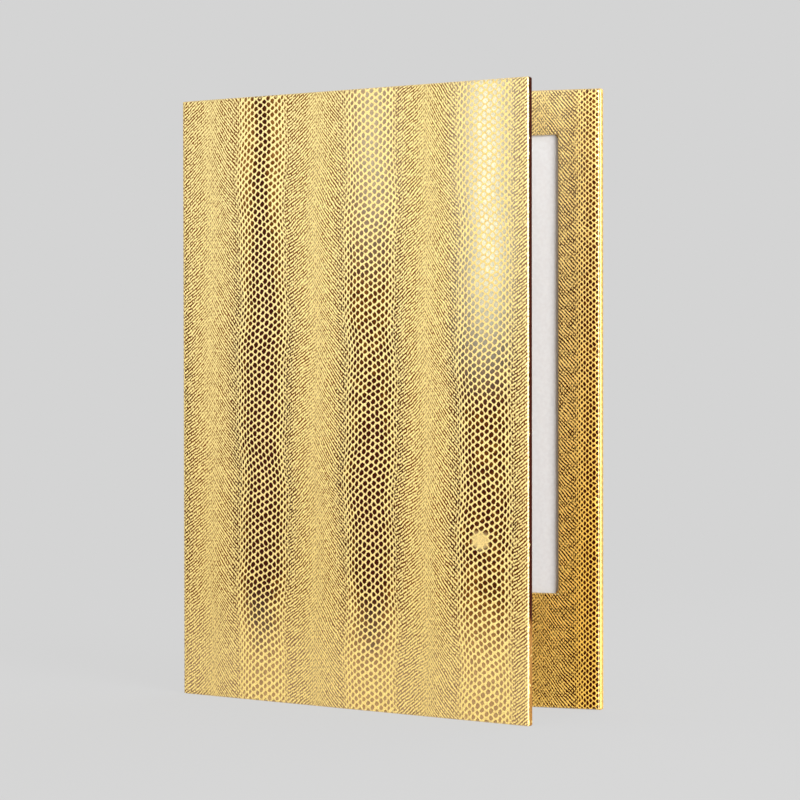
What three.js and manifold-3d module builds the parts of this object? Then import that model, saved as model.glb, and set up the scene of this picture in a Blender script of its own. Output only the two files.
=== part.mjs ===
// Menu cover: two wrapped boards joined by a soft spine, standing partly open on their bottom edges.
// The back cover carries a wrapped window frame that holds a menu sheet against its inside.
// Millimetres, +Z up. X runs from the spine to the fore-edge, and +Y is the outside of the back cover.
import * as THREE from "three";
import { mergeVertices } from "three/addons/utils/BufferGeometryUtils.js";
import Module from "manifold-3d";

const wasm = await Module();
wasm.setup();

// Covers
const coverWidth = 248;
const coverHeight = 343;
const coverCornerRadius = 1.3;
const coverBoardThickness = 2.8;
const leatheretteThickness = 0.6;
const turnInWidth = 12;
const turnedEdgeRadius = 1;
const glueLine = 0.1;

// Window frame on the inside of the back cover, a little smaller than the cover all round
const frameInset = 0.5;
const frameBoardThickness = 1.3;
const frameLeatheretteThickness = 0.5;
const frameTurnInWidth = 8;
const frameEdgeRadius = 0.8;
const frameLapAtSides = 6.5;
const frameLapAtEnds = 12.5;
const windowCornerRadius = 1;

// Menu sheet, between the turned edges of the back cover, and the linings
const sheetForeGap = 5.9;
const sheetSpineInset = 14.1;
const sheetTopGap = 0.5;
const sheetBottomGap = 39.5;
const sheetThickness = 0.2;
const liningThickness = 0.3;
const liningMargin = 5;
const fitClearance = 0.4;

// Spine and opening
const closedGap = 0.8;
const hingeOffset = 1.5;
const hingeBendWidth = 0.9;
const openingAngle = 17.7;
const arcSteps = 4;
const bevelSteps = 3;

// Build-ups through the thickness
const skinnedDepth = coverBoardThickness + 2 * (leatheretteThickness + glueLine);
const frameDepth = frameBoardThickness + 2 * (frameLeatheretteThickness + glueLine);
const backDepth = skinnedDepth + glueLine + frameDepth;
const frontDepth = skinnedDepth + glueLine + liningThickness;
const hingeSpacing = backDepth + frontDepth + closedGap - leatheretteThickness;
const boardInset = leatheretteThickness + glueLine;
const frameBoardInset = frameLeatheretteThickness + glueLine;

const gold = { color: 0xd9b878, roughness: 0.36, metalness: 0.75 };
const goldShade = { color: 0xcfa968, roughness: 0.42, metalness: 0.7 };
const greyBoard = { color: 0x9a8f7d, roughness: 0.95, metalness: 0 };
const liningPaper = { color: 0xb58d4c, roughness: 0.7, metalness: 0.2 };
const whitePaper = { color: 0xf2ece8, roughness: 0.85, metalness: 0 };

// A rectangle in the X-Z plane, given by its low and high corners, with round corners.
function roundedRectangle(low, high, radius, Kind = THREE.Shape) {
  const outline = new Kind();
  outline.absarc(high.x - radius, high.z - radius, radius, 0, Math.PI / 2);
  outline.absarc(low.x + radius, high.z - radius, radius, Math.PI / 2, Math.PI);
  outline.absarc(low.x + radius, low.z + radius, radius, Math.PI, 1.5 * Math.PI);
  outline.absarc(high.x - radius, low.z + radius, radius, 1.5 * Math.PI, 2 * Math.PI);
  return outline;
}

// The solid between two depths behind an outline, with its edges rounded by edgeRadius.
function slab(outline, yLow, yHigh, edgeRadius = 0) {
  const geometry = new THREE.ExtrudeGeometry(outline, {
    depth: yHigh - yLow - 2 * edgeRadius,
    curveSegments: arcSteps,
    bevelEnabled: edgeRadius > 0,
    bevelThickness: edgeRadius,
    bevelSize: edgeRadius,
    bevelOffset: -edgeRadius,
    bevelSegments: bevelSteps,
  });
  geometry.translate(0, 0, edgeRadius - yHigh + yLow);
  geometry.rotateX(Math.PI / 2);
  geometry.translate(0, yLow, 0);
  return solidFrom(geometry);
}

// The solid between two corner points.
function block(low, high) {
  const geometry = new THREE.BoxGeometry(high.x - low.x, high.y - low.y, high.z - low.z);
  geometry.translate((low.x + high.x) / 2, (low.y + high.y) / 2, (low.z + high.z) / 2);
  return solidFrom(geometry);
}

function solidFrom(geometry) {
  geometry.deleteAttribute("normal");
  geometry.deleteAttribute("uv");
  const merged = mergeVertices(geometry, 1e-4);
  const mesh = new wasm.Mesh({
    numProp: 3,
    vertProperties: merged.attributes.position.array,
    triVerts: new Uint32Array(merged.index.array),
  });
  return new wasm.Manifold(mesh);
}

function pieceMesh(name, solid, look) {
  const { vertProperties, triVerts } = solid.getMesh();
  const geometry = new THREE.BufferGeometry();
  geometry.setAttribute("position", new THREE.BufferAttribute(vertProperties, 3));
  geometry.setIndex(new THREE.BufferAttribute(triVerts, 1));
  geometry.computeVertexNormals();
  const mesh = new THREE.Mesh(geometry, new THREE.MeshStandardMaterial(look));
  mesh.name = name;
  return mesh;
}

// The two corners of a cover's outline, moved in by an inset on the three turned sides.
// The spine side is where the leatherette runs on over the hinge, so it has an inset of its own.
function coverSpan(inset, spineInset) {
  return {
    low: { x: spineInset, z: inset },
    high: { x: coverWidth - inset, z: coverHeight - inset },
  };
}

// Both covers are built alike, with the inside face at yInside and the outside at yOutside.
// side is 1 where the outside faces +Y and -1 where it faces -Y.
function coverDepths(yInside, side) {
  return {
    inside: yInside,
    turnInBack: yInside + side * leatheretteThickness,
    boardInside: yInside + side * boardInset,
    boardOutside: yInside + side * (boardInset + coverBoardThickness),
    skinInside: yInside + side * (skinnedDepth - leatheretteThickness),
    outside: yInside + side * skinnedDepth,
  };
}

function ordered(a, b) {
  return [Math.min(a, b), Math.max(a, b)];
}

// Leatherette over the outside of a board, turned round three edges and on to its inside.
function turnedLeatherette(yInside, side) {
  const depths = coverDepths(yInside, side);
  const pastSpine = -4 * coverCornerRadius;
  const outer = coverSpan(0, pastSpine);
  const hollow = coverSpan(leatheretteThickness, 2 * pastSpine);
  const opening = coverSpan(turnInWidth, 2 * pastSpine);
  const wrapped = slab(
    roundedRectangle(outer.low, outer.high, coverCornerRadius),
    ...ordered(depths.inside, depths.outside),
    turnedEdgeRadius,
  );
  const boardSpace = slab(
    roundedRectangle(hollow.low, hollow.high, coverCornerRadius - leatheretteThickness),
    ...ordered(depths.turnInBack, depths.skinInside),
  );
  const [openingLow, openingHigh] = ordered(depths.inside - side, depths.boardInside);
  const insideOpening = block(
    { ...opening.low, y: openingLow },
    { ...opening.high, y: openingHigh },
  );
  const beyondSpine = block(
    { x: 3 * pastSpine, y: -coverWidth, z: -coverHeight },
    { x: 0, y: coverWidth, z: 2 * coverHeight },
  );
  return wrapped.subtract(boardSpace).subtract(insideOpening).subtract(beyondSpine);
}

function coverBoard(yInside, side) {
  const depths = coverDepths(yInside, side);
  const span = coverSpan(boardInset, liningThickness + glueLine);
  const cornerRadius = coverCornerRadius - leatheretteThickness;
  return slab(
    roundedRectangle(span.low, span.high, cornerRadius),
    ...ordered(depths.boardInside, depths.boardOutside),
  );
}

// The lining's flange over the board's edge at the spine: full height behind the turn-ins,
// and joined to the lining's panel between them.
function liningFlange(depths, side, panelFace) {
  const foot = depths.skinInside - side * glueLine;
  const [lowY, highY] = ordered(panelFace, foot);
  const [boardLowY, boardHighY] = ordered(depths.boardInside, foot);
  const between = coverSpan(turnInWidth + fitClearance, 0);
  const whole = coverSpan(boardInset, 0);
  return block(
    { x: 0, y: lowY, z: between.low.z },
    { x: liningThickness, y: highY, z: between.high.z },
  ).add(
    block(
      { x: 0, y: boardLowY, z: whole.low.z },
      { x: liningThickness, y: boardHighY, z: whole.high.z },
    ),
  );
}

// A sheet between the turn-ins, which runs out to the spine edge.
function liningPanel(inset, yFrom, yTo) {
  const { low, high } = coverSpan(inset, 0);
  const [lowY, highY] = ordered(yFrom, yTo);
  return block({ ...low, y: lowY }, { ...high, y: highY });
}

// Back cover, with the front of its window frame at y = 0
function backCover() {
  const yInside = frameDepth + glueLine;
  const depths = coverDepths(yInside, 1);
  const liningBack = depths.boardInside - glueLine;
  const liningFront = liningBack - liningThickness;
  const lining = liningPanel(turnInWidth + fitClearance, liningFront, liningBack).add(
    liningFlange(depths, 1, liningFront),
  );
  const cover = new THREE.Group();
  cover.add(
    pieceMesh("back_leatherette", turnedLeatherette(yInside, 1), gold),
    pieceMesh("back_board", coverBoard(yInside, 1), greyBoard),
    pieceMesh("back_lining", lining, liningPaper),
    pieceMesh("insert_sheet", menuSheet(liningFront), whitePaper),
    ...windowFrame(),
  );
  return cover;
}

// The sheet fits between the turned edges, and the frame laps over it on all sides.
const sheetLow = { x: sheetSpineInset, z: turnInWidth + sheetBottomGap };
const sheetHigh = {
  x: coverWidth - turnInWidth - sheetForeGap,
  z: coverHeight - turnInWidth - sheetTopGap,
};
const windowLow = { x: sheetLow.x + frameLapAtSides, z: sheetLow.z + frameLapAtEnds };
const windowHigh = { x: sheetHigh.x - frameLapAtSides, z: sheetHigh.z - frameLapAtEnds };

function menuSheet(yBehind) {
  return block({ ...sheetLow, y: yBehind - sheetThickness }, { ...sheetHigh, y: yBehind });
}

// A ring of the frame's outline, its sides and its window both moved in by an inset.
function frameRing(inset, cornerRadius, holeRadius) {
  const edge = frameInset + inset;
  const outline = roundedRectangle(
    { x: edge, z: edge },
    { x: coverWidth - edge, z: coverHeight - edge },
    cornerRadius,
  );
  const hole = roundedRectangle(
    { x: windowLow.x - inset, z: windowLow.z - inset },
    { x: windowHigh.x + inset, z: windowHigh.z + inset },
    holeRadius,
    THREE.Path,
  );
  outline.holes.push(hole);
  return outline;
}

// A board ring wrapped in leatherette, which is turned round all its edges and open at the back.
function windowFrame() {
  const backOfSkin = frameDepth - frameLeatheretteThickness;
  const boardCorner = coverCornerRadius - frameLeatheretteThickness;
  const boardHole = windowCornerRadius + frameLeatheretteThickness;
  const wrapped = slab(
    frameRing(0, coverCornerRadius, windowCornerRadius),
    0,
    frameDepth,
    frameEdgeRadius,
  );
  const boardSpace = slab(
    frameRing(frameLeatheretteThickness, boardCorner, boardHole),
    frameLeatheretteThickness,
    backOfSkin,
  );
  const backOpening = slab(
    frameRing(frameTurnInWidth, boardCorner, boardHole),
    backOfSkin - glueLine,
    frameDepth + glueLine,
  );
  const board = slab(
    frameRing(frameBoardInset, boardCorner, boardHole),
    frameBoardInset,
    frameBoardInset + frameBoardThickness,
  );
  return [
    pieceMesh("frame_leatherette", wrapped.subtract(boardSpace).subtract(backOpening), goldShade),
    pieceMesh("frame_board", board, greyBoard),
  ];
}

// Spine strip and its lining, hung from the back hinge's axis and running to the front hinge's.
function spine() {
  const half = leatheretteThickness / 2;
  const strip = {
    low: { x: -half, y: hingeBendWidth - hingeSpacing, z: 0 },
    high: { x: half, y: -hingeBendWidth, z: coverHeight },
  };
  const lining = {
    low: { x: half + glueLine, y: strip.low.y, z: boardInset },
    high: { x: half + glueLine + liningThickness, y: strip.high.y, z: coverHeight - boardInset },
  };
  const group = new THREE.Group();
  group.add(
    pieceMesh("spine_leatherette", block(strip.low, strip.high), gold),
    pieceMesh("spine_lining", block(lining.low, lining.high), liningPaper),
  );
  return group;
}

// Front cover, with the outside of its leatherette half a thickness before the hinge's axis
function frontCover() {
  const yInside = skinnedDepth - leatheretteThickness / 2;
  const depths = coverDepths(yInside, -1);
  const liningBack = depths.boardInside + glueLine;
  const liningFace = depths.inside + glueLine + liningThickness;
  const lining = liningPanel(turnInWidth + fitClearance, liningBack, liningFace)
    .add(liningPanel(liningMargin, depths.inside + glueLine, liningFace))
    .add(liningFlange(depths, -1, liningFace));
  const cover = new THREE.Group();
  const pieces = [
    pieceMesh("front_leatherette", turnedLeatherette(yInside, -1), gold),
    pieceMesh("front_board", coverBoard(yInside, -1), greyBoard),
    pieceMesh("front_lining", lining, liningPaper),
  ];
  for (const piece of pieces) piece.position.x = hingeOffset;
  cover.add(...pieces);
  return cover;
}

// Each hinge takes half of the opening: the spine turns on the back hinge, the front on the spine.
const hingeTurn = THREE.MathUtils.degToRad(openingAngle / 2);
const spineGroup = spine();
spineGroup.position.set(-hingeOffset, backDepth - leatheretteThickness / 2, 0);
spineGroup.rotation.z = -hingeTurn;
const frontGroup = frontCover();
frontGroup.position.set(0, -hingeSpacing, 0);
frontGroup.rotation.z = -hingeTurn;
spineGroup.add(frontGroup);

const standing = new THREE.Group();
standing.add(backCover(), spineGroup);
const extent = new THREE.Box3().setFromObject(standing, true);
const middle = extent.getCenter(new THREE.Vector3());
standing.position.set(-middle.x, -middle.y, -extent.min.z);

const group = new THREE.Group();
group.add(standing);
export default group;
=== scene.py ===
import math

import bpy
import numpy as np
from mathutils import Matrix, Vector


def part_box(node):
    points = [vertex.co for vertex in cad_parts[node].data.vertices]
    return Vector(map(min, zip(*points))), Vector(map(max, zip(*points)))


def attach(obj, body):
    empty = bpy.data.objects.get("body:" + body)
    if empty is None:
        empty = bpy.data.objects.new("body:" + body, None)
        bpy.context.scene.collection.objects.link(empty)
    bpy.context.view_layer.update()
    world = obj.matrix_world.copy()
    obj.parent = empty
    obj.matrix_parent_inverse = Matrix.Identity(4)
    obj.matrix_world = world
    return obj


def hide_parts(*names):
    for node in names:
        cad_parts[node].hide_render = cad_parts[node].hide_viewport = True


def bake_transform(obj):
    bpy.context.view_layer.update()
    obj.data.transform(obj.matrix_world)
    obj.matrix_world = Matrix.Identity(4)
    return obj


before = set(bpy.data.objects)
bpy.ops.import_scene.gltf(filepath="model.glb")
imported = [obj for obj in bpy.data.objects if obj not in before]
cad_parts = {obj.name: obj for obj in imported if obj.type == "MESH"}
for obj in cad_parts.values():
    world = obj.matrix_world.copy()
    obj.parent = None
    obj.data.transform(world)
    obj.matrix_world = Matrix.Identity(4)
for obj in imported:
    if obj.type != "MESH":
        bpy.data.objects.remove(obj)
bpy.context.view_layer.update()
bpy.ops.object.select_all(action="DESELECT")
mm = 0.001
tiny = 1e-9          # millimetres that count as nothing
leastArea = 2e-11    # twice a triangle's area in square metres, below which it is left out
chance = np.random.default_rng(7)
print("frame loaded")

# Camera: where the photograph was taken from, angles in degrees and places in metres
cameraPlace = {
    "azimuth": 21.579,
    "lookDown": 0.897,
    "roll": -0.079,
    "position": (0.63381, -1.54691, 0.19751),
    "lens": 135.65,
    "sensor": 36.0,
    "farthest": 20.0,
}


def placeCamera():
    azimuth, lookDown, roll = (math.radians(cameraPlace[turn]) for turn in ("azimuth", "lookDown", "roll"))
    ahead = Vector((-math.sin(azimuth) * math.cos(lookDown),
                    math.cos(azimuth) * math.cos(lookDown),
                    -math.sin(lookDown)))
    right = Vector((math.cos(azimuth), math.sin(azimuth), 0))
    up = right.cross(ahead)
    tiltedRight = math.cos(roll) * right + math.sin(roll) * up
    tiltedUp = -math.sin(roll) * right + math.cos(roll) * up
    turn = Matrix((tiltedRight, tiltedUp, -ahead)).transposed()
    bpy.ops.object.camera_add()
    camera = bpy.context.object
    camera.name = "camera"
    camera.matrix_world = Matrix.Translation(cameraPlace["position"]) @ turn.to_4x4()
    camera.data.lens = cameraPlace["lens"]
    camera.data.sensor_width = cameraPlace["sensor"]
    camera.data.clip_end = cameraPlace["farthest"]
    bpy.context.scene.camera = camera


placeCamera()
print("camera placed")

# How the covers stand: the leather bends at two hinge lines, one at each side of the spine.
# Millimetres and degrees.
coverPlan = {
    "openingAngle": 17.7,
    "hingeSpacing": 11.6,
    "hingeOffset": 1.5,       # from a hinge line to the cut edge of the cover's board
    "leatherThickness": 0.6,
    "foldRadius": 1.0,
    "edgeDepth": 4.2,         # from a cover's outside to the turned-in leather's inside
    "edgeStarts": (0.9, 1.8),    # leather past the face over which a board's edge begins
}
backLow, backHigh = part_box("back_leatherette")
ringLow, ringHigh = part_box("frame_leatherette")
sheetLow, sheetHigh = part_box("insert_sheet")
coverWidth = (backHigh[0] - backLow[0]) / mm
coverHeight = (backHigh[2] - backLow[2]) / mm
opening = math.radians(coverPlan["openingAngle"])
frontAlong = Vector((math.cos(opening), -math.sin(opening)))
frontOut = Vector((-math.sin(opening), -math.cos(opening)))
spineAlong = Vector((-math.sin(opening / 2), -math.cos(opening / 2)))   # from the back hinge to the front one
halfLeather = coverPlan["leatherThickness"] / 2 * mm
backHinge = Vector((backLow[0] - coverPlan["hingeOffset"] * mm, backHigh[1] - halfLeather))
frontHinge = backHinge + spineAlong * coverPlan["hingeSpacing"] * mm
frontCorner = frontHinge + frontAlong * coverPlan["hingeOffset"] * mm + frontOut * halfLeather

# Embossing: bands of scales with finely ribbed leather between them, in millimetres on the flat leather
scalePattern = {
    "firstBand": 60.0,
    "bandSpacing": 79.5,
    # From a band's middle, in shares of the spacing, where the pattern begins and ends changing
    "scaleReach": (0.21, 0.3),      # deep relief gives way to fine relief
    "netReach": (0.15, 0.3),        # scales give way to ribs
    "columnReach": (0.05, 0.27),    # columns draw closer
    "ribsFade": (0.38, 0.49),
    "ribsFadeBy": 0.5,
    "bandPitch": 3.1,               # half a scale's width in the middle of a band
    "finePitch": 1.5,
    "rowStep": 1.95,                # half a scale's height
    "looseness": 0.2,
    "lift": 0.03,                   # how far the scales' floors stand off the CAD leather
    "fineRelief": 0.02,
    "bandRelief": 0.22,
    "pressedLoss": 0.85,            # share of the relief that a pressed place loses
    "ringShare": 0.55,              # how far out a scale's flat floor reaches
    "ringFrom": 0.25,               # share of deep relief past which a scale gets a ring
    "backing": 0.12,
    "creaseAngle": 50.0,            # degrees
    "sway": (1.3, 0.7, 0.8),        # how far bands wander, in two waves up the leather, and rows, in one
    "swayLength": (118.0, 47.0, 52.0),
    "swaySlant": (30.0, 22.0, 45.0),    # the way across over which each wave moves on by a radian
    "swayFade": 25.0,               # from the face's edges
    "ribsUpright": 0.45,            # ribs a millimetre, up the leather
    "ribsFalling": (0.25, 1.2, 0.13),    # the same along it: least, growth with the phase, from what phase
    "ribsRisingUpright": 0.52,
    "ribsRising": (0.32, 0.5, 0.26),
    "ribLine": (700.0, 0.25),       # how far each way the ribs are counted, and in what steps
    "risingFrom": (0.22, 0.26),     # where ribs that fall give way to ribs that rise
    "mixReach": (0.18, 0.34),       # near a band both kinds of rib mix, which leaves small scales
    "mixNear": (0.38, 0.68),        # share of rising ribs there, on the falling and on the rising side
    "mixAway": (0.12, 0.88),
}


def smooth(low, high, value):
    share = np.clip((value - low) / (high - low), 0, 1)
    return share * share * (3 - 2 * share)


def bandPhase(along):
    cycles = (along - scalePattern["firstBand"]) / scalePattern["bandSpacing"]
    return cycles - np.floor(cycles + 0.5)


def scaleShare(along):
    core, end = scalePattern["scaleReach"]
    return smooth(end, core, np.abs(bandPhase(along)))


def columnPitch(along):
    core, end = scalePattern["columnReach"]
    wide, fine = scalePattern["bandPitch"], scalePattern["finePitch"]
    return fine + (wide - fine) * smooth(end, core, np.abs(bandPhase(along)))


def ribCount(along, growth):
    # Ribs passed along the leather, added up from a far point because their pitch changes
    least, slope, start = growth
    reach, step = scalePattern["ribLine"]
    line = np.arange(-reach, reach, step)
    density = least + slope * np.clip(np.abs(bandPhase(line)) - start, 0, None)
    return np.interp(along, line, np.cumsum(density) * step)


def ribLean(phase):
    # 0 where all ribs fall and 1 where all rise
    nearBand = 1 - smooth(*scalePattern["mixReach"], np.abs(phase))
    low, high = (away + (near - away) * nearBand
                 for near, away in zip(scalePattern["mixNear"], scalePattern["mixAway"]))
    return low + (high - low) * smooth(*scalePattern["risingFrom"], phase)


def foldLength(radius, depth):
    return math.pi * radius + depth - 2 * radius


def foldSteps(radius, depth):
    quarter = radius * math.pi / 2
    flat = depth - 2 * radius
    first = [quarter * part for part in (0.2, 0.4, 0.6, 0.8, 1.0)]
    return np.array(first + [quarter + flat / 2] + [quarter + flat + step for step in [0.0] + first])


def evenLines(start, end, pitch):
    # Lines at the pitch that holds where they lie, stretched a little to end where they should
    lines = [start]
    while lines[-1] < end:
        lines.append(lines[-1] + float(pitch(lines[-1])))
    lines = np.array(lines)
    return start + (lines - start) * (end - start) / (lines[-1] - start)


def netLines(length, foldAtStart, hole, radius, depth, pitch):
    # Places of the net's columns or rows, closer where the leather folds, their counts of whole scales,
    # and which lines only serve a fold
    turns = foldSteps(radius, depth)
    start = radius if foldAtStart else 0.0
    stop = length - radius
    spacing = 2 * scalePattern["bandPitch"]
    if hole:
        low, high = hole[0] - radius, hole[1] + radius
        stretches = [(start, low), (low + turns[-1], high - turns[-1]), (high, stop)]
        folds = [low + turns[:-1], high - turns[-2::-1]]
    else:
        stretches, folds = [(start, stop)], []
    places, count, plain = [], [], []
    for number, (first, last) in enumerate(stretches):
        lines = evenLines(first, last, pitch)
        if number:
            between = folds[number - 1]
            gap = lines[0] - places[-1][-1]
            passed = round(gap / pitch(lines[0]))
            passed += (len(between) + 1 - passed) % 2      # so that a scale's middle stays a scale's middle
            share = (between - places[-1][-1]) / gap
            ahead = count[-1][-1]
            places.append(between)
            count.append(ahead + share * passed / 2)
            plain.append(np.ones(len(between), bool))
            count.append(ahead + passed / 2 + np.arange(len(lines)) / 2)
        else:
            count.append(np.arange(len(lines)) / 2)
        places.append(lines)
        plain.append(np.zeros(len(lines), bool))
    places, count, plain = (np.concatenate(parts) for parts in (places, count, plain))
    before = (radius - turns)[::-1] if foldAtStart else np.zeros(0)
    before = np.concatenate([[before[0] - 1 if foldAtStart else -1.0], before])
    after = np.concatenate([stop + turns, [stop + turns[-1] + 1]])
    countBefore = (before - start) / spacing
    countAfter = count[-1] + (after - stop) / spacing
    shift = len(before) % 2 / 2      # the first fold's lines come first in the grid, and the count keeps step
    count = shift + np.concatenate([countBefore, count, countAfter])
    plain = np.concatenate([np.ones(len(before), bool), plain, np.ones(len(after), bool)])
    return np.concatenate([before, places, after]), count, plain


def netNodes(columns, rows):
    # Every other crossing of a column and a row is a scale's middle, and the rest are the net's crossings
    along, columnCount, plainColumn = (np.repeat(values[:, None], len(rows[0]), 1) for values in columns)
    height, rowCount, plainRow = (np.repeat(values[None, :], len(columns[0]), 0) for values in rows)
    middle = (np.arange(len(columns[0]))[:, None] + np.arange(len(rows[0]))[None, :]) % 2 == 0
    return along, height, columnCount, rowCount, middle, plainColumn | plainRow


def foldProfile(distance, radius, depth):
    # A sheet turned round an edge: how far out, how deep, and how its normal leans, after that much leather
    quarter = radius * math.pi / 2
    flat = depth - 2 * radius
    distance = np.clip(distance, 0, 2 * quarter + flat)
    first = np.clip(distance, 0, quarter) / radius
    second = np.clip(distance - quarter - flat, 0, quarter) / radius
    straight = np.clip(distance - quarter, 0, flat)
    out = radius * np.sin(first) - radius * (1 - np.cos(second))
    down = radius * (1 - np.cos(first)) + straight + radius * np.sin(second)
    lean = np.where(second > 0, np.cos(second), np.sin(first))
    facing = np.where(second > 0, -np.sin(second), np.cos(first))
    return out, down, lean, facing


def turnedFace(place):
    # A board's face with its leather turned round the edges, and round the window where there is one
    radius, depth = place["foldRadius"], place["edgeDepth"]
    spineInset = radius if place["foldAtSpine"] else 0.0

    def wrap(along, height):
        flatAlong = np.clip(along, spineInset, place["width"] - radius)
        flatHeight = np.clip(height, radius, place["height"] - radius)
        overAlong = along - flatAlong
        overHeight = height - flatHeight
        if not place["foldAtSpine"]:
            overAlong = np.maximum(overAlong, 0)
        beyond = np.hypot(overAlong, overHeight)
        unit = np.maximum(beyond, tiny)
        leanAlong, leanHeight = overAlong / unit, overHeight / unit
        inHole = np.zeros(along.shape, bool)
        if place["window"]:
            left, right, low, high = place["window"]
            sides = np.stack([along - left + radius, right + radius - along,
                              height - low + radius, high + radius - height])
            nearest = sides.argmin(0)
            depthIn = sides.min(0)
            inside = depthIn > tiny
            signs = np.array([[1, 0], [-1, 0], [0, 1], [0, -1]], float)
            starts = np.array([left - radius, right + radius, low - radius, high + radius])
            flatAlong = np.where(inside & (nearest < 2), starts[nearest], flatAlong)
            flatHeight = np.where(inside & (nearest > 1), starts[nearest], flatHeight)
            leanAlong = np.where(inside, signs[nearest][..., 0], leanAlong)
            leanHeight = np.where(inside, signs[nearest][..., 1], leanHeight)
            beyond = np.where(inside, depthIn, beyond)
            inHole = inside & (depthIn > foldLength(radius, depth) - tiny)
        out, down, lean, facing = foldProfile(beyond, radius, depth)
        planAlong = flatAlong + leanAlong * out
        planHeight = flatHeight + leanHeight * out
        if place["window"]:
            inset = out - radius     # keeps a corner's two sides to their own half
            planAlong = np.where(inside & (nearest > 1),
                                 np.clip(planAlong, left + inset, right - inset), planAlong)
            planHeight = np.where(inside & (nearest < 2),
                                  np.clip(planHeight, low + inset, high - inset), planHeight)
        corner, sideways, outward = place["corner"], place["along"], place["out"]
        spot = np.stack([corner[0] + (sideways[0] * planAlong - outward[0] * down) * mm,
                         corner[1] + (sideways[1] * planAlong - outward[1] * down) * mm,
                         place["bottom"] + planHeight * mm], -1)
        normal = np.stack([sideways[0] * leanAlong * lean + outward[0] * facing,
                           sideways[1] * leanAlong * lean + outward[1] * facing,
                           leanHeight * lean], -1)
        return spot, normal, inHole, beyond

    return wrap


def swayOf(along, height, width, tall):
    # The wandering of bands and rows, which dies out toward the face's edges
    inland = np.minimum(np.minimum(along, width - along), np.minimum(height, tall - height))
    share = smooth(1, scalePattern["swayFade"], inland)
    far, near, rowFar = scalePattern["sway"]
    first, second, third = (2 * math.pi / length for length in scalePattern["swayLength"])
    slantFirst, slantSecond, slantThird = scalePattern["swaySlant"]
    bend = (far * np.sin(first * height + along / slantFirst)
            + near * np.sin(second * height + along / slantSecond + 1))
    return share * bend, share * rowFar * np.sin(third * along + height / slantThird)


def cellTriangles(middle):
    # Four triangles round each scale's middle, between the corners of its cell of the net
    index = np.arange(middle.size).reshape(middle.shape)
    inner = middle[1:-1, 1:-1]
    centre = index[1:-1, 1:-1][inner]
    beside = (index[:-2, 1:-1], index[1:-1, :-2], index[2:, 1:-1], index[1:-1, 2:])
    corners = [neighbour[inner] for neighbour in beside]
    fans = [np.stack([centre, corners[side], corners[(side + 1) % 4]], 1) for side in range(4)]
    return centre, corners, fans


def isKept(triangles, spots, hole):
    # Left out: triangles that a border squeezes to nothing and those in the window
    a, b, c = (spots[triangles[:, corner]] for corner in range(3))
    return (np.linalg.norm(np.cross(b - a, c - a), axis=1) > leastArea) & ~hole[triangles].all(1)


def ringTriangles(owner, rims, first):
    # A ring inside each large scale keeps its floor flat and its rim steep
    ring = [first + side * len(owner) + np.arange(len(owner)) for side in range(4)]
    faces = []
    for side in range(4):
        here, there = ring[side], ring[(side + 1) % 4]
        rimHere, rimThere = rims[side], rims[(side + 1) % 4]
        faces += [np.stack([owner, here, there], 1), np.stack([here, rimHere, rimThere], 1),
                  np.stack([here, rimThere, there], 1)]
    return np.concatenate(faces)


def borderWalls(triangles, total):
    # Walls from the skin's open edges down to its back
    edges = np.concatenate([triangles[:, [0, 1]], triangles[:, [1, 2]], triangles[:, [2, 0]]])
    keys = np.sort(edges, 1)
    packed = keys[:, 0] * total + keys[:, 1]
    values, counts = np.unique(packed, return_counts=True)
    border = edges[np.isin(packed, values[counts == 1])]
    return np.concatenate([np.stack([border[:, 1], border[:, 0], border[:, 0] + total], 1),
                           np.stack([border[:, 1], border[:, 0] + total, border[:, 1] + total], 1)])


def patternLayers(pattern, height, columnCount, rowCount, shades):
    # What the material reads: counts of scales and ribs, which of them shows, and the piece's tones
    phase = bandPhase(pattern)
    scales = 1 - smooth(*scalePattern["netReach"], np.abs(phase))
    falling, rising = (ribCount(pattern, scalePattern[kind]) for kind in ("ribsFalling", "ribsRising"))
    return {
        "netA": rowCount + columnCount,
        "netB": rowCount - columnCount,
        "ribsFalling": scalePattern["ribsUpright"] * height + falling,
        "ribsRising": scalePattern["ribsRisingUpright"] * height - rising,
        "risingShare": ribLean(phase),
        "ribShare": 1 - scalePattern["ribsFadeBy"] * smooth(*scalePattern["ribsFade"], np.abs(phase)),
        "scaleShare": np.maximum(scales, shades.pop("edgeShare")),
        **shades,
    }


def meshWithLayers(name, spots, faces, layers):
    used = np.unique(faces)
    renumber = np.zeros(len(spots), int)
    renumber[used] = np.arange(len(used))
    mesh = bpy.data.meshes.new(name)
    mesh.from_pydata(spots[used].tolist(), [], renumber[faces].tolist())
    for label, values in layers.items():
        layer = mesh.attributes.new(label, "FLOAT", "POINT")
        layer.data.foreach_set("value", values[used].astype(np.float32))
    piece = bpy.data.objects.new(name, mesh)
    bpy.context.collection.objects.link(piece)
    bpy.context.view_layer.objects.active = piece
    piece.select_set(True)
    bpy.ops.object.shade_smooth_by_angle(angle=math.radians(scalePattern["creaseAngle"]))
    piece.select_set(False)
    print(name, len(faces), "triangles")
    return piece


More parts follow.
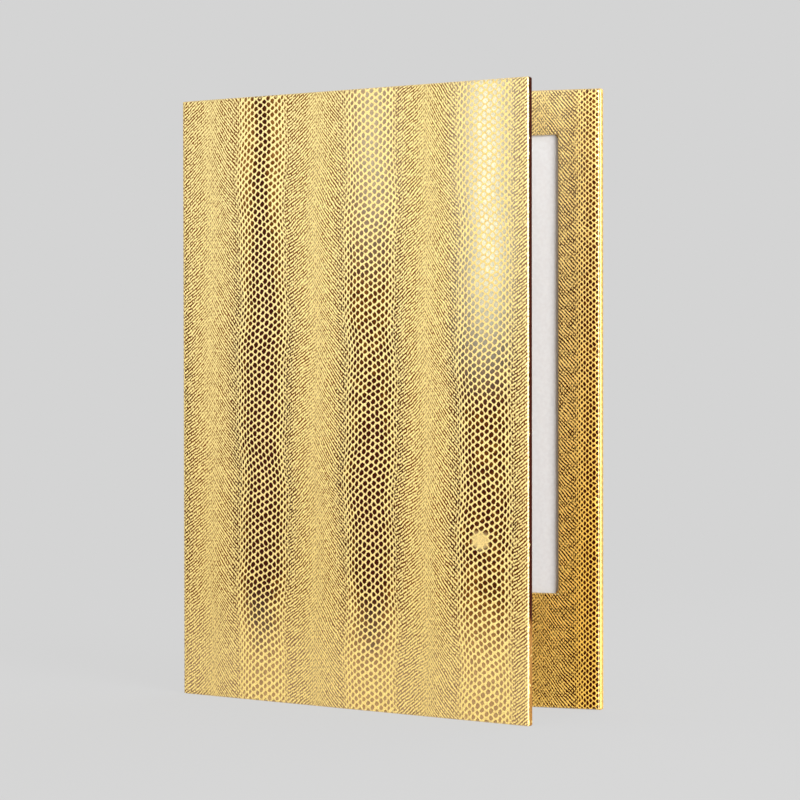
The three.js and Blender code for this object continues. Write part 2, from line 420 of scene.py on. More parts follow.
def leatherMesh(name, nodes, wrap, patternShift, tones, backing, flip, onCover=False):
    # Crossings of the net become a closed skin: raised net, sunk scales, a plain back and closed borders
    along, height, columnCount, rowCount, middle, plain = nodes
    flat = wrap(along, height)[3] <= tiny
    loose = np.where(flat & ~plain, scalePattern["looseness"], 0)
    drift = chance.uniform(-1, 1, (2, *along.shape)) * loose
    movedAlong = along + drift[0] * scalePattern["finePitch"]
    movedHeight = height + drift[1] * scalePattern["rowStep"]
    bend, rise = 0, 0
    if onCover:
        bend, rise = swayOf(along, height, coverWidth - coverPlan["foldRadius"],
                            coverHeight - coverPlan["foldRadius"])
    spot, normal, inHole, beyond = wrap(movedAlong + bend, movedHeight + rise)
    pattern = movedAlong * patternShift[0] + patternShift[1]
    share = scaleShare(pattern)
    shades = tones(movedAlong, movedHeight, beyond)
    fine, deep = scalePattern["fineRelief"], scalePattern["bandRelief"]
    relief = (fine + (deep - fine) * share) * (1 - scalePattern["pressedLoss"] * shades["pressedShare"])
    relief = np.where(middle | plain, 0, relief)
    top = (spot + normal * ((relief + scalePattern["lift"]) * mm)[..., None]).reshape(-1, 3)
    under = (spot - normal * (backing * mm)).reshape(-1, 3)
    total = len(top)
    centre, corners, fans = cellTriangles(middle)
    kept = [isKept(fan, under, inHole.reshape(-1)) for fan in fans]
    ringed = np.logical_and.reduce(kept) & (share.reshape(-1)[centre] > scalePattern["ringFrom"])
    ringed &= flat.reshape(-1)[centre] & ~plain.reshape(-1)[centre] & onCover
    topFans = np.concatenate([fan[keep & ~ringed] for fan, keep in zip(fans, kept)])
    underFans = np.concatenate([fan[keep] for fan, keep in zip(fans, kept)])
    owner = centre[ringed]
    rims = [corner[ringed] for corner in corners]
    faces = np.concatenate([topFans, ringTriangles(owner, rims, 2 * total), underFans[:, ::-1] + total,
                            borderWalls(underFans, total)])
    if flip:
        faces = faces[:, ::-1]
    part = scalePattern["ringShare"]
    floor = top - (normal * (relief * mm)[..., None]).reshape(-1, 3)
    ringSpots = [top[owner] * (1 - part) + floor[rim] * part for rim in rims]
    layers = {}
    for label, values in patternLayers(pattern, movedHeight, columnCount, rowCount, shades).items():
        values = values.reshape(-1)
        rings = [values[owner] * (1 - part) + values[rim] * part for rim in rims]
        layers[label] = np.concatenate([values, values, *rings])
    return meshWithLayers(name, np.concatenate([top, under, *ringSpots]), faces, layers)


def linear(red, green, blue):
    # A colour as a screen shows it, 0 to 255, in the renderer's own scale
    levels = [((c / 255 + 0.055) / 1.055) ** 2.4 if c > 10 else c / 255 / 12.92 for c in (red, green, blue)]
    return (*levels, 1)


def startMaterial(name):
    material = bpy.data.materials.new(name)
    material.use_nodes = True
    tree = material.node_tree
    return material, tree, tree.nodes["Principled BSDF"]


def feed(tree, socket, value):
    # A socket takes a plain value or what another node gives
    if isinstance(value, (tuple, int, float)):
        socket.default_value = value
    else:
        tree.links.new(value, socket)


# A mix node's sockets for its share and two colours and for its result, which share their names with others
mixInputs = (0, 6, 7)
mixOutput = 2


def mixColours(tree, amount, first, second):
    mix = tree.nodes.new("ShaderNodeMix")
    mix.data_type = "RGBA"
    for number, value in zip(mixInputs, (amount, first, second)):
        feed(tree, mix.inputs[number], value)
    return mix.outputs[mixOutput]


def mixShaders(tree, amount, first, second):
    mix = tree.nodes.new("ShaderNodeMixShader")
    for socket, value in zip(mix.inputs, (amount, first, second)):
        feed(tree, socket, value)
    return mix.outputs[0]


def attributeValue(tree, label):
    reader = tree.nodes.new("ShaderNodeAttribute")
    reader.attribute_name = label
    return reader.outputs["Fac"]


def mapValue(tree, value, fromLow, fromHigh, toLow, toHigh, kind="SMOOTHSTEP"):
    ranger = tree.nodes.new("ShaderNodeMapRange")
    ranger.interpolation_type = kind
    tree.links.new(value, ranger.inputs["Value"])
    limits = {"From Min": fromLow, "From Max": fromHigh, "To Min": toLow, "To Max": toHigh}
    for label, number in limits.items():
        ranger.inputs[label].default_value = number
    return ranger.outputs["Result"]


def objectNoise(tree, scale, detail=3.0, stretch=(1, 1, 1)):
    place = tree.nodes.new("ShaderNodeTexCoord")
    mapping = tree.nodes.new("ShaderNodeMapping")
    mapping.inputs["Scale"].default_value = stretch
    noise = tree.nodes.new("ShaderNodeTexNoise")
    noise.inputs["Scale"].default_value = scale
    noise.inputs["Detail"].default_value = detail
    tree.links.new(place.outputs["Object"], mapping.inputs["Vector"])
    tree.links.new(mapping.outputs["Vector"], noise.inputs["Vector"])
    return noise.outputs["Fac"]


def addBump(tree, shader, height, strength, distance):
    bump = tree.nodes.new("ShaderNodeBump")
    bump.inputs["Strength"].default_value = strength
    bump.inputs["Distance"].default_value = distance
    tree.links.new(height, bump.inputs["Height"])
    tree.links.new(bump.outputs["Normal"], shader.inputs["Normal"])


def mathNode(tree, operation, *values):
    step = tree.nodes.new("ShaderNodeMath")
    step.operation = operation
    for socket, value in zip(step.inputs, values):
        feed(tree, socket, value)
    return step.outputs[0]


def vectorNode(tree, operation, first, second, socket):
    step = tree.nodes.new("ShaderNodeVectorMath")
    step.operation = operation
    tree.links.new(first, step.inputs[0])
    tree.links.new(second, step.inputs[socket])
    return step.outputs[0]


def waveOf(tree, count):
    return mathNode(tree, "COSINE", mathNode(tree, "MULTIPLY", count, 2 * math.pi))


def mixValues(tree, amount, first, second):
    change = mathNode(tree, "SUBTRACT", second, first)
    return mathNode(tree, "ADD", first, mathNode(tree, "MULTIPLY", change, amount))


# Gold leatherette: pale gold net, deeper gold scales, and almost black ones where the bands darken, which is
# a painted dark reflection
goldLeather = {
    "net": (255, 235, 158),
    "scale": (146, 90, 24),
    "rib": (116, 56, 4),
    # darkNet and darkScale: net and scales at full darkness, which on the front's bands is painted dark
    # reflection
    "darkNet": (255, 230, 162),
    "darkScale": (58, 16, 0),
    # Net and scales under the painted highlight
    "paintedHighlightNet": (236, 200, 116),
    "paintedHighlightScale": (255, 253, 222),
    # Paler folds: painted highlight on the edges' folds, with their wear
    "foldHighlightAndWearColour": (255, 228, 176),
    "warmth": (0.96, 0.74, 0.32, 1),    # what repeated reflection between gold faces leaves of the light
    "netDrift": 0.3,
    "netDriftScales": (230.0, 310.0),
    "shrink": 0.5,                   # how much the scales shrink toward the ribs
    "sideCut": 0.16,                 # how blunt the scales' left and right corners are
    "scaleEdge": (0.0, 0.13),        # how far down a scale's side its colour turns
    "scaleSize": (-0.14, 0.0),       # how much a pale scale narrows and a dark one or one under the painted highlight widens
    "paleScaleDepth": 0.88,
    "paleRibDepth": 0.88,
    # Darkness over which scales widen, scales deepen, ribs deepen and the sunk colour turns dark
    "widensOver": (0.0, 0.6),
    "deepensOver": (0.05, 0.45),
    "ribsDeepenOver": (0.0, 0.4),
    "darkensOver": (0.05, 0.65),
    "ribEdge": (-0.26, 0.32),
    "ribsGiveWay": (0.25, 0.8),      # share of scales over which the ribs give way
    "driftScale": 110.0,
    "drift": 1.6,
    "breakScale": 420.0,
    "breakNoise": (0.36, 0.62),
    "breakRange": (0.6, 1.35),
    "smoothTone": 0.3,               # where the ribs die out
    "pressedTone": 0.35,
    "metal": 0.55,
    "polish": 0.05,
    "roughNoise": (0.3, 0.7),
    "roughRange": (0.3, 0.48),
    "speckleScale": 1500.0,
    "speckleNoise": (0.35, 0.65),
    "speckleRange": (0.8, 1.16),
    "bump": (0.35, 0.00015),
}


def scaleDepth(tree, dark, scaled):
    # Two crossing waves leave a diamond in each cell of the net, with its sides cut blunt
    gold = goldLeather
    counts = []
    for label, noiseScale in zip(("netA", "netB"), gold["netDriftScales"]):
        wander = objectNoise(tree, noiseScale, 1.0)
        counts.append(mathNode(tree, "MULTIPLY_ADD", wander, gold["netDrift"], attributeValue(tree, label)))
    waves = [mathNode(tree, "MULTIPLY_ADD", waveOf(tree, count), 0.5, 0.5) for count in counts]
    rowWave = waveOf(tree, mathNode(tree, "ADD", *counts))
    columnWave = waveOf(tree, mathNode(tree, "SUBTRACT", *counts))
    wide = mathNode(tree, "MAXIMUM", mathNode(tree, "SUBTRACT", rowWave, columnWave), 0.0)
    cell = mathNode(tree, "MULTIPLY_ADD", wide, -gold["sideCut"], mathNode(tree, "MINIMUM", *waves))
    toned = mathNode(tree, "MAXIMUM", dark, attributeValue(tree, "glowShare"))
    size = mapValue(tree, toned, *gold["widensOver"], *gold["scaleSize"])
    grown = mathNode(tree, "ADD", cell, size)
    grown = mathNode(tree, "ADD", grown, attributeValue(tree, "sunkShare"))
    shrunk = mathNode(tree, "MULTIPLY_ADD", scaled, gold["shrink"], -gold["shrink"])
    grown = mathNode(tree, "ADD", grown, shrunk)
    depth = mapValue(tree, grown, *gold["scaleEdge"], 0, 1)
    fullDepth = mapValue(tree, dark, *gold["deepensOver"], gold["paleScaleDepth"], 1)
    return mathNode(tree, "MULTIPLY", depth, fullDepth)


def ribDepth(tree, dark):
    # Mostly one of the two waves, wandering a little and broken here and there
    gold = goldLeather
    drift = mathNode(tree, "MULTIPLY", objectNoise(tree, gold["driftScale"], 2.0), gold["drift"])
    falling, rising = (waveOf(tree, mathNode(tree, "ADD", attributeValue(tree, label), drift))
                       for label in ("ribsFalling", "ribsRising"))
    ribs = mixValues(tree, attributeValue(tree, "risingShare"), falling, rising)
    rib = mapValue(tree, ribs, *gold["ribEdge"], 0, 1)
    breaks = mapValue(tree, objectNoise(tree, gold["breakScale"], 1.0), *gold["breakNoise"],
                      *gold["breakRange"], "LINEAR")
    rib = mathNode(tree, "MULTIPLY", rib, breaks)
    rib = mixValues(tree, attributeValue(tree, "ribShare"), gold["smoothTone"], rib)
    fullDepth = mapValue(tree, dark, *gold["ribsDeepenOver"], gold["paleRibDepth"], 1)
    return mathNode(tree, "MULTIPLY", rib, fullDepth)


def goldLeatherMaterial():
    gold = goldLeather
    material, tree, shader = startMaterial("embossed_gold_leatherette")
    # Darkness: partly the leather's random tone, partly painted shade (the dark reflection on the front's
    # bands)
    dark = attributeValue(tree, "darkShare")
    scaled = attributeValue(tree, "scaleShare")
    scales = scaleDepth(tree, dark, scaled)
    ribWeight = mapValue(tree, scaled, *gold["ribsGiveWay"], 1, 0, "LINEAR")
    ribs = mathNode(tree, "MULTIPLY", ribDepth(tree, dark), ribWeight)
    sunk = mathNode(tree, "MAXIMUM", ribs, scales)
    # From 0 on the net to 1 on the sunk leather
    floorShare = mixValues(tree, attributeValue(tree, "pressedShare"), sunk, gold["pressedTone"])
    # Colours: net and sunk leather, first pale or dark, then the painted highlight, speckle, painted bounce
    # warmth, and the folds' painted highlight with their wear
    paleFloor = mixColours(tree, scaled, linear(*gold["rib"]), linear(*gold["scale"]))
    darkFloor = mapValue(tree, dark, *gold["darkensOver"], 0, 1)
    floorColour = mixColours(tree, darkFloor, paleFloor, linear(*gold["darkScale"]))
    netColour = mixColours(tree, dark, linear(*gold["net"]), linear(*gold["darkNet"]))
    colour = mixColours(tree, floorShare, netColour, floorColour)
    # Painted highlight: net and scales turn pale where it lies
    paintedHighlightColour = mixColours(tree, floorShare, linear(*gold["paintedHighlightNet"]), linear(*gold["paintedHighlightScale"]))
    colour = mixColours(tree, attributeValue(tree, "glowShare"), colour, paintedHighlightColour)
    speckle = objectNoise(tree, gold["speckleScale"], 2.0)
    strength = mapValue(tree, speckle, *gold["speckleNoise"], *gold["speckleRange"], "LINEAR")
    colour = vectorNode(tree, "SCALE", colour, strength, "Scale")
    # Painted bounce light between gold faces warms the colour
    warm = mixColours(tree, attributeValue(tree, "warmShare"), (1.0, 1.0, 1.0, 1), gold["warmth"])
    colour = vectorNode(tree, "MULTIPLY", colour, warm, 1)
    colour = mixColours(tree, attributeValue(tree, "foldWear"), colour, linear(*gold["foldHighlightAndWearColour"]))
    tree.links.new(colour, shader.inputs["Base Color"])
    rough = mapValue(tree, speckle, *gold["roughNoise"], *gold["roughRange"], "LINEAR")
    tree.links.new(rough, shader.inputs["Roughness"])
    shader.inputs["Metallic"].default_value = gold["metal"]
    shader.inputs["Specular IOR Level"].default_value = gold["polish"]
    addBump(tree, shader, mathNode(tree, "SUBTRACT", 1.0, floorShare), *gold["bump"])
    return material


# The same leatherette pressed flat on the inside, where the net is faint
turnedLeather = {
    "netScale": 330.0,
    "netEdge": (0.05, 0.3),
    "speckleRange": (0.7, 1.05),
    "roughness": 0.42,
    "bump": (0.4, 0.0001),
}


def turnInMaterial():
    gold = goldLeather
    material, tree, shader = startMaterial("turned_in_gold_leatherette")
    place = tree.nodes.new("ShaderNodeTexCoord")
    cells = tree.nodes.new("ShaderNodeTexVoronoi")
    cells.feature = "DISTANCE_TO_EDGE"
    cells.inputs["Scale"].default_value = turnedLeather["netScale"]
    tree.links.new(place.outputs["Object"], cells.inputs["Vector"])
    net = mapValue(tree, cells.outputs["Distance"], *turnedLeather["netEdge"], 1, 0)
    colour = mixColours(tree, net, linear(*gold["scale"]), linear(*gold["net"]))
    speckle = objectNoise(tree, gold["speckleScale"], 2.0)
    strength = mapValue(tree, speckle, *gold["speckleNoise"], *turnedLeather["speckleRange"], "LINEAR")
    tree.links.new(vectorNode(tree, "SCALE", colour, strength, "Scale"), shader.inputs["Base Color"])
    shader.inputs["Metallic"].default_value = gold["metal"]
    shader.inputs["Roughness"].default_value = turnedLeather["roughness"]
    addBump(tree, shader, net, *turnedLeather["bump"])
    return material


# Lining, boards and menu sheet: a colour, the grain's colour, and the noise over which they change
liningPaper = {
    "colour": (196, 164, 108),
    "grainColour": (164, 128, 74),
    "grainScale": 900.0,
    "grainDetail": 2.0,
    "threadStretch": 0.12,        # how much the noise is drawn out along a thread
    "grainNoise": (0.15, 0.38),
    "roughness": 0.6,
    "bump": (0.3, 0.0001),
}
greyBoard = {
    "colour": (150, 140, 126),
    "grainColour": (112, 100, 86),
    "grainScale": 700.0,
    "grainDetail": 5.0,
    "grainNoise": (0.42, 0.6),
    "roughness": 0.9,
    "bump": (0.4, 0.0002),
}
# The menu sheet is white paper given a grey colour: painted shade for the shade inside the cover
menuPaper = {
    "colour": (191, 192, 194),
    "grainColour": (187, 187, 189),
    "grainScale": 500.0,
    "grainDetail": 6.0,
    "grainNoise": (0.35, 0.65),
    "roughness": 0.55,
    "bump": (0.08, 0.0001),
}


def paperGrain(tree, paper):
    # Threads that cross, or plain noise where there are none
    scale, detail = paper["grainScale"], paper["grainDetail"]
    if "threadStretch" not in paper:
        return objectNoise(tree, scale, detail)
    drawnOut = paper["threadStretch"]
    across = objectNoise(tree, scale, detail, (1, 1, drawnOut))
    upright = objectNoise(tree, scale, detail, (drawnOut, drawnOut, 1))
    return mathNode(tree, "MULTIPLY", across, upright)


def paperMaterial(name, paper):
    material, tree, shader = startMaterial(name)
    grain = paperGrain(tree, paper)
    share = mapValue(tree, grain, *paper["grainNoise"], 0, 1)
    colour = mixColours(tree, share, linear(*paper["grainColour"]), linear(*paper["colour"]))
    tree.links.new(colour, shader.inputs["Base Color"])
    shader.inputs["Roughness"].default_value = paper["roughness"]
    addBump(tree, shader, grain, *paper["bump"])
    return material


embossed = goldLeatherMaterial()
finishes = [
    (turnInMaterial(), ["front_leatherette", "back_leatherette", "frame_leatherette", "spine_leatherette"]),
    (paperMaterial("lining_paper", liningPaper), ["front_lining", "back_lining", "spine_lining"]),
    (paperMaterial("grey_board", greyBoard), ["front_board", "back_board", "frame_board"]),
    (paperMaterial("menu_paper", menuPaper), ["insert_sheet"]),
]
for finish, labels in finishes:
    for label in labels:
        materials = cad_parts[label].data.materials
        materials.clear()
        materials.append(finish)
print("CAD pieces finished")

# The front cover's tones: each band darkens between two heights, a painted dark reflection, and one has a
# painted highlight at the top, in millimetres
frontTones = {
    # Middle, half width low and high up, darkens from and to, fades from and to, share left above, strength
    "paintedDarkReflectionBands": [
        (60.0, 17.0, 10.0, -20.0, 105.0, 225.0, 315.0, 0.6, 1.0),
        (139.5, 17.0, 10.0, -15.0, 105.0, 140.0, 225.0, 0.15, 0.95),
        (219.0, 16.0, 10.0, -5.0, 105.0, 120.0, 178.0, 0.05, 0.62),
    ],
    "narrowsOver": (120.0, 290.0),
    "plainDark": 0.05,
    "ribDark": 0.5,
    "ribDarkReach": (0.2, 0.42),     # shares of the band spacing
    "ribDarkAtFoot": 0.3,
    "ribDarkOver": (20.0, 100.0),
    # Less darkness toward the top: painted light from above
    "darkAtTop": 0.55,
    "paintedTopLightOver": (180.0, 330.0),
    # Painted highlights: middle, half width, from and fully at, strength
    "paintedHighlightBands": [(221.0, 17.0, 165.0, 255.0, 0.8), (141.0, 16.0, 225.0, 310.0, 0.3)],
    "paintedHighlightPatches": (0.8, 1.1),
    # Painted highlight near the foot
    "bottomPaintedHighlight": 0.16,
    "bottomPaintedHighlightOver": (10.0, 70.0),
    "darkEdgeOver": (40.0, 75.0),
    "edgeSunk": (0.1, 0.8),
    "pressedSpot": (217.0, 97.0, 4.5),    # along, up and radius
    "spotRim": (0.6, 1.3),                # shares of its radius
    # Painted highlight on the pressed spot
    "spotPaintedHighlight": 0.35,
    "wear": 0.75,
    # Warmer toward the bottom: painted bounce light
    "warmBelow": 0.3,
    "warmUpTo": 330.0,
}
# The back cover's, hidden in the photograph: the bands are only a little darker than the leather between
backTones = {
    "plainDark": 0.1,
    "bandDark": 0.45,
    "darkensOver": (30.0, 90.0),
    "wear": 0.7,
    "edgePressed": 0.8,
    # Painted bounce light, more on the edges
    "warm": 0.15,
    "edgeWarm": 0.7,
}
# The painted highlight and wear on the folds of an edge: how wide in fold radii, how strong the second is,
# and the least share
foldHighlightAndWearShape = {"width": 0.3, "second": 0.6, "least": 0.4}


def patchy(values, low=0.7, high=1.25):
    return np.clip(values * chance.uniform(low, high, values.shape), 0, 1)


def bell(place, middle, half):
    # 1 in the middle and dying out on both sides
    return np.exp(-(((place - middle) / half) ** 2))


def foldWear(beyond, edge, strength):
    # Paler leather on the two folds of an edge: a painted highlight, together with wear
    radius = edge["foldRadius"]
    first = radius * math.pi / 4
    second = foldLength(radius, edge["edgeDepth"]) - first
    width = foldHighlightAndWearShape["width"] * radius
    paleFolds = bell(beyond, first, width) + foldHighlightAndWearShape["second"] * bell(beyond, second, width)
    return np.clip(strength * (paleFolds * chance.uniform(foldHighlightAndWearShape["least"], 1, beyond.shape)), 0, 1)


def shadesOf(dark, **others):
    # What a piece doesn't set is nothing
    shades = {"darkShare": dark}
    for label in ("glowShare", "foldWear", "pressedShare", "edgeShare", "sunkShare", "warmShare"):
        shades[label] = others.get(label, np.zeros(dark.shape))
    return shades


# The front's darkness: random tone, darker ribs near the bands, less toward the top as painted light from
# above, and the bands as painted dark reflection
def frontToneAndPaintedShade(along, height):
    tones = frontTones
    foot, top = tones["ribDarkAtFoot"], tones["darkAtTop"]
    ribbed = tones["ribDark"] * (1 - smooth(*tones["ribDarkReach"], np.abs(bandPhase(along))))
    ribbed = ribbed * (foot + (1 - foot) * smooth(*tones["ribDarkOver"], height))
    dark = (tones["plainDark"] + ribbed) * (1 - (1 - top) * smooth(*tones["paintedTopLightOver"], height))
    for middle, wide, narrow, low, full, fade, gone, left, strength in tones["paintedDarkReflectionBands"]:
        upright = smooth(low, full, height) * (1 - (1 - left) * smooth(fade, gone, height))
        half = wide + (narrow - wide) * smooth(*tones["narrowsOver"], height)
        dark = np.maximum(dark, strength * bell(along, middle, half) * upright)
    return dark


# Painted highlights on the bands' tops and near the foot
def frontPaintedHighlight(along, height):
    glow = frontTones["bottomPaintedHighlight"] * (1 - smooth(*frontTones["bottomPaintedHighlightOver"], height))
    for middle, half, low, full, strength in frontTones["paintedHighlightBands"]:
        glow = np.maximum(glow, strength * bell(along, middle, half) * smooth(low, full, height))
    return glow


def frontShades(along, height, beyond):
    tones = frontTones
    onEdge = smooth(*coverPlan["edgeStarts"], beyond) * (along > coverWidth - coverPlan["foldRadius"])
    dark = np.maximum(frontToneAndPaintedShade(along, height), onEdge * smooth(*tones["darkEdgeOver"], height))
    spotAlong, spotHeight, spotRadius = tones["pressedSpot"]
    fromSpot = np.hypot(along - spotAlong, height - spotHeight) / spotRadius
    pressed = 1 - smooth(*tones["spotRim"], fromSpot)
    dark = patchy(dark) * (1 - pressed)
    glow = patchy(frontPaintedHighlight(along, height), *tones["paintedHighlightPatches"]) * (1 - onEdge)
    return shadesOf(
        dark,
        glowShare=np.maximum(glow, tones["spotPaintedHighlight"] * pressed),
        foldWear=foldWear(beyond, coverPlan, tones["wear"]),
        pressedShare=pressed,
        edgeShare=onEdge,
        sunkShare=onEdge * chance.uniform(*tones["edgeSunk"], along.shape),
        warmShare=tones["warmBelow"] * (1 - smooth(0, tones["warmUpTo"], height)),
    )


def backShades(along, height, beyond):
    tones = backTones
    banded = scaleShare(-along - stripLength) * smooth(*tones["darkensOver"], height)
    dark = patchy(tones["plainDark"] + tones["bandDark"] * banded)
    onEdge = smooth(*coverPlan["edgeStarts"], beyond)
    return shadesOf(dark, foldWear=foldWear(beyond, coverPlan, tones["wear"]),
                    pressedShare=tones["edgePressed"] * onEdge,
                    warmShare=tones["warm"] + tones["edgeWarm"] * onEdge)


frontPlace = {
    "width": coverWidth, "height": coverHeight, "bottom": backLow[2],
    "foldRadius": coverPlan["foldRadius"], "edgeDepth": coverPlan["edgeDepth"], "foldAtSpine": False,
    "window": None, "fineness": 1.0, "corner": frontCorner, "along": frontAlong, "out": frontOut,
}
backPlace = dict(frontPlace, corner=Vector((backLow[0], backHigh[1])), along=Vector((1, 0)),
                 out=Vector((0, 1)))
stripLength = coverPlan["hingeSpacing"] + 2 * coverPlan["hingeOffset"]


def faceNodes(place, patternShift):
    def columnPitchHere(along):
        return columnPitch(along * patternShift[0] + patternShift[1]) * place["fineness"]

    def rowPitchHere(height):
        return scalePattern["rowStep"] * place["fineness"]

    hole = place["window"]
    radius, depth = place["foldRadius"], place["edgeDepth"]
    columns = netLines(place["width"], place["foldAtSpine"], hole and hole[:2], radius, depth,
                       columnPitchHere)
    rows = netLines(place["height"], True, hole and hole[2:], radius, depth, rowPitchHere)
    return netNodes(columns, rows)


def embossedPiece(name, place, patternShift, tones, body, flip=False):
    piece = leatherMesh(name, faceNodes(place, patternShift), turnedFace(place), patternShift, tones,
                        scalePattern["backing"], flip, onCover=place["window"] is None)
    piece.data.materials.append(embossed)
    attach(piece, body)


embossedPiece("front_embossed_leather", frontPlace, (1, 0), frontShades, "front_cover")
# The sheet goes on round the spine, so the back cover's pattern counts on from the front's, the other way
embossedPiece("back_embossed_leather", backPlace, (-1, -stripLength), backShades,
              "back_cover", flip=True)
print("cover leather made")

# The window frame's leather, whose band runs by the fore-edge, in millimetres from the frame's spine side
windowFrame = {
    "foldRadius": 0.8,
    "edgeDepth": 2.5,
    "lapAtSides": 6.5,
    "lapAtEnds": 12.5,
    "bandFromSpine": 252.0,
    "fineness": 0.76,
    "deepTone": (0.62, 0.6),      # by the window and by the fore-edge
    "deepPatches": (0.7, 1.3),
    # Paler toward the top: painted light from above
    "paintedTopLightBy": 0.3,
    "paintedTopLightOver": (180.0, 330.0),
    # Painted highlight by the window near the top
    "glow": 0.12,
    "paintedHighlightOver": (220.0, 330.0),
    "paintedHighlightPatches": (0.8, 1.2),
    "wear": 0.6,
    "darkEdgeFrom": 9.0,          # past the window, so that only the fore-edge gets it
    # Painted bounce light: warmer toward the bottom and the fore-edge
    "warmBelow": 0.85,
    "warmAbove": 0.1,
    "warmOver": (40.0, 340.0),
    "warmAtEdge": 0.25,
    "mostWarm": 1.2,
}
windowSpan = (
    (sheetLow[0] - ringLow[0]) / mm + windowFrame["lapAtSides"],
    (sheetHigh[0] - ringLow[0]) / mm - windowFrame["lapAtSides"],
    (sheetLow[2] - ringLow[2]) / mm + windowFrame["lapAtEnds"],
    (sheetHigh[2] - ringLow[2]) / mm - windowFrame["lapAtEnds"],
)
ringPlace = {
    "width": (ringHigh[0] - ringLow[0]) / mm, "height": (ringHigh[2] - ringLow[2]) / mm, "bottom": ringLow[2],
    "foldRadius": windowFrame["foldRadius"], "edgeDepth": windowFrame["edgeDepth"], "foldAtSpine": True,
    "window": windowSpan, "fineness": windowFrame["fineness"],
    "corner": Vector((ringLow[0], ringLow[1])), "along": Vector((1, 0)), "out": Vector((0, -1)),
}
bandShift = scalePattern["firstBand"] + 2 * scalePattern["bandSpacing"] - windowFrame["bandFromSpine"]


def frameShades(along, height, beyond):
    tones = windowFrame
    toEdge = smooth(windowSpan[1], ringPlace["width"], along)
    inner, outer = tones["deepTone"]
    paintedTopLight = tones["paintedTopLightBy"] * smooth(*tones["paintedTopLightOver"], height)
    dark = patchy((inner + (outer - inner) * toEdge) * (1 - paintedTopLight), *tones["deepPatches"])
    glow = patchy(tones["glow"] * (1 - toEdge) * smooth(*tones["paintedHighlightOver"], height), *tones["paintedHighlightPatches"])
    onEdge = smooth(*coverPlan["edgeStarts"], beyond) * (along > windowSpan[1] + tones["darkEdgeFrom"])
    warm = tones["warmBelow"] + (tones["warmAbove"] - tones["warmBelow"]) * smooth(*tones["warmOver"], height)
    warm = np.clip(warm + tones["warmAtEdge"] * toEdge, 0, tones["mostWarm"])
    return shadesOf(dark, glowShare=glow, foldWear=foldWear(beyond, tones, tones["wear"]),
                    edgeShare=onEdge, warmShare=warm)


embossedPiece("window_frame_embossed_leather", ringPlace, (1, bandShift), frameShades,
              "back_cover")
print("window frame leather made")

# Spine leather: one strip round both hinges, split in the middle so that each half bends at one of them
spineStrip = {
    "bendReach": 1.2,
    "overlap": 0.25,
    "bottomGap": 0.3,
    "steps": 40,
    "columnStep": 0.45,
    "dark": 0.1,
    # Painted bounce light
    "warm": 0.15,
}
spineMiddle = (backHinge + frontHinge) / 2


def stripPath(coverSide, hinge):
    # From the cover's cut edge round the hinge to the middle of the spine, with a round bend
    towardMiddle = (spineMiddle - hinge).normalized()
    reach = spineStrip["bendReach"] * mm
    start = hinge + coverSide * (coverPlan["hingeOffset"] + spineStrip["overlap"]) * mm
    bendStart, bendEnd = hinge + coverSide * reach, hinge + towardMiddle * reach
    points = [start]
    for step in range(spineStrip["steps"] + 1):
        share = step / spineStrip["steps"]
        points.append((1 - share) ** 2 * bendStart + 2 * share * (1 - share) * hinge + share ** 2 * bendEnd)
    points.append(spineMiddle)
    return np.array([(p.x, p.y) for p in points])


def stripWrap(path, outwardSign):
    steps = np.linalg.norm(np.diff(path, axis=0), axis=1)
    travelled = np.concatenate([[0], np.cumsum(steps)])
    middles = (travelled[1:] + travelled[:-1]) / 2
    slopes = np.diff(path, axis=0) / steps[:, None]
    length = travelled[-1] / mm

    def wrap(along, height):
        reach = np.clip(along, 0, length) * mm
        x = np.interp(reach, travelled, path[:, 0])
        y = np.interp(reach, travelled, path[:, 1])
        slopeX = np.interp(reach, middles, slopes[:, 0])
        slopeY = np.interp(reach, middles, slopes[:, 1])
        size = np.hypot(slopeX, slopeY)
        flat = np.zeros(reach.shape)
        normal = np.stack([outwardSign * slopeY / size, -outwardSign * slopeX / size, flat], -1)
        level = np.clip(height, spineStrip["bottomGap"], coverHeight - spineStrip["bottomGap"])
        spot = np.stack([x, y, backLow[2] + level * mm], -1) + normal * halfLeather
        return spot, normal, flat > 0, flat

    return wrap, length


def spineShades(along, height, beyond):
    dark = patchy(np.full(along.shape, spineStrip["dark"]))
    return shadesOf(dark, warmShare=np.full(along.shape, spineStrip["warm"]))


def spineHalf(name, coverSide, hinge, outwardSign, patternShift, flip):
    wrap, length = stripWrap(stripPath(coverSide, hinge), outwardSign)
    inside = evenLines(0.0, length, lambda along: spineStrip["columnStep"])
    places = np.concatenate([[-1.0], inside, [length + 1]])
    columns = (places, places / (2 * scalePattern["finePitch"]), np.ones(len(places), bool))
    rows = netLines(coverHeight, True, None, coverPlan["foldRadius"], coverPlan["edgeDepth"],
                    lambda height: scalePattern["rowStep"])
    piece = leatherMesh(name, netNodes(columns, rows), wrap, patternShift, spineShades,
                        coverPlan["leatherThickness"], flip)
    piece.data.materials.append(embossed)
    return piece


frontSpine = spineHalf("spine_leather_front_half", frontAlong, frontHinge, -1, (-1, 0), True)
backSpine = spineHalf("spine_leather_back_half", Vector((1, 0)), backHinge, 1, (1, -stripLength), False)
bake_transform(frontSpine)
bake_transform(backSpine)
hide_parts("spine_leatherette")
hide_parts("spine_leatherette")
print("spine leather made")

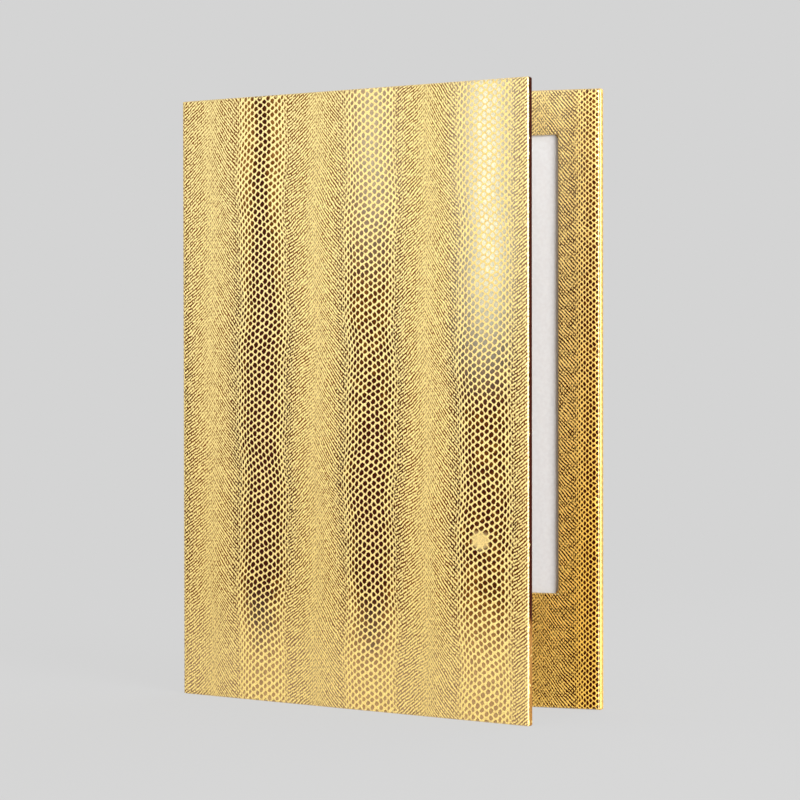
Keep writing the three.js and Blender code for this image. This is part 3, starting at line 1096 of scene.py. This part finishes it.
# Studio: a pale grey room that the camera and the gloss see evenly, and soft lamps. Metres and watts.
studio = {
    "grey": (212, 212, 212),
    "roomLight": 0.75,
    "floorSize": 12.0,
    "shadowShare": 0.08,
    "shadowReach": (0.25, 1.2),
    "lamps": {
        "front_lamp": {"place": (-0.3, -2.2, 0.15), "width": 1.8, "watts": 10.5},
        "right_lamp": {"place": (1.9, -1.3, 0.5), "width": 1.2, "watts": 104.0},
        "left_lamp": {"place": (-1.9, -1.2, 0.15), "width": 1.5, "watts": 6.0},
        "back_lamp": {"place": (0.3, 1.8, 1.3), "width": 1.6, "watts": 12.0},
    },
}


def seenByCameraOrGloss(tree):
    rays = tree.nodes.new("ShaderNodeLightPath")
    seen = mathNode(tree, "MAXIMUM", rays.outputs["Is Camera Ray"], rays.outputs["Is Glossy Ray"])
    return mathNode(tree, "MAXIMUM", seen, rays.outputs["Is Transmission Ray"])


def lightRoom():
    world = bpy.data.worlds.new("studio_room")
    bpy.context.scene.world = world
    world.use_nodes = True
    tree = world.node_tree
    seen = tree.nodes["Background"]
    seen.inputs["Color"].default_value = linear(*studio["grey"])
    light = tree.nodes.new("ShaderNodeBackground")
    light.inputs["Strength"].default_value = studio["roomLight"]
    light.inputs["Color"].default_value = (1, 1, 1, 1)
    room = mixShaders(tree, seenByCameraOrGloss(tree), light.outputs[0], seen.outputs[0])
    tree.links.new(room, tree.nodes["World Output"].inputs["Surface"])
    for name, lamp in studio["lamps"].items():
        bpy.ops.object.light_add(type="AREA", location=lamp["place"])
        lampObject = bpy.context.object
        lampObject.name = name
        lampObject.data.size = lamp["width"]
        lampObject.data.energy = lamp["watts"]
        toward = Vector((0, 0, coverHeight / 2 * mm)) - Vector(lamp["place"])
        lampObject.rotation_mode = "QUATERNION"
        lampObject.rotation_quaternion = toward.to_track_quat("-Z", "Y")


def layFloor():
    bpy.ops.mesh.primitive_plane_add(size=studio["floorSize"], location=(0, 0, 0))
    floor = bpy.context.object
    floor.name = "studio_floor"
    material, tree, shader = startMaterial("studio_floor")
    tree.nodes.remove(shader)
    plain = tree.nodes.new("ShaderNodeEmission")
    plain.inputs["Color"].default_value = linear(*studio["grey"])
    matte = tree.nodes.new("ShaderNodeBsdfDiffuse")
    matte.inputs["Color"].default_value = linear(*studio["grey"])
    place = tree.nodes.new("ShaderNodeTexCoord")
    away = tree.nodes.new("ShaderNodeVectorMath")
    away.operation = "LENGTH"
    tree.links.new(place.outputs["Object"], away.inputs[0])
    near = mapValue(tree, away.outputs["Value"], *studio["shadowReach"], studio["shadowShare"], 0)
    shown = mixShaders(tree, near, plain.outputs[0], matte.outputs[0])
    surface = mixShaders(tree, seenByCameraOrGloss(tree), matte.outputs[0], shown)
    tree.links.new(surface, tree.nodes["Material Output"].inputs["Surface"])
    floor.data.materials.append(material)


lightRoom()
layFloor()
bpy.context.scene.view_settings.view_transform = "Standard"
print("studio lit")
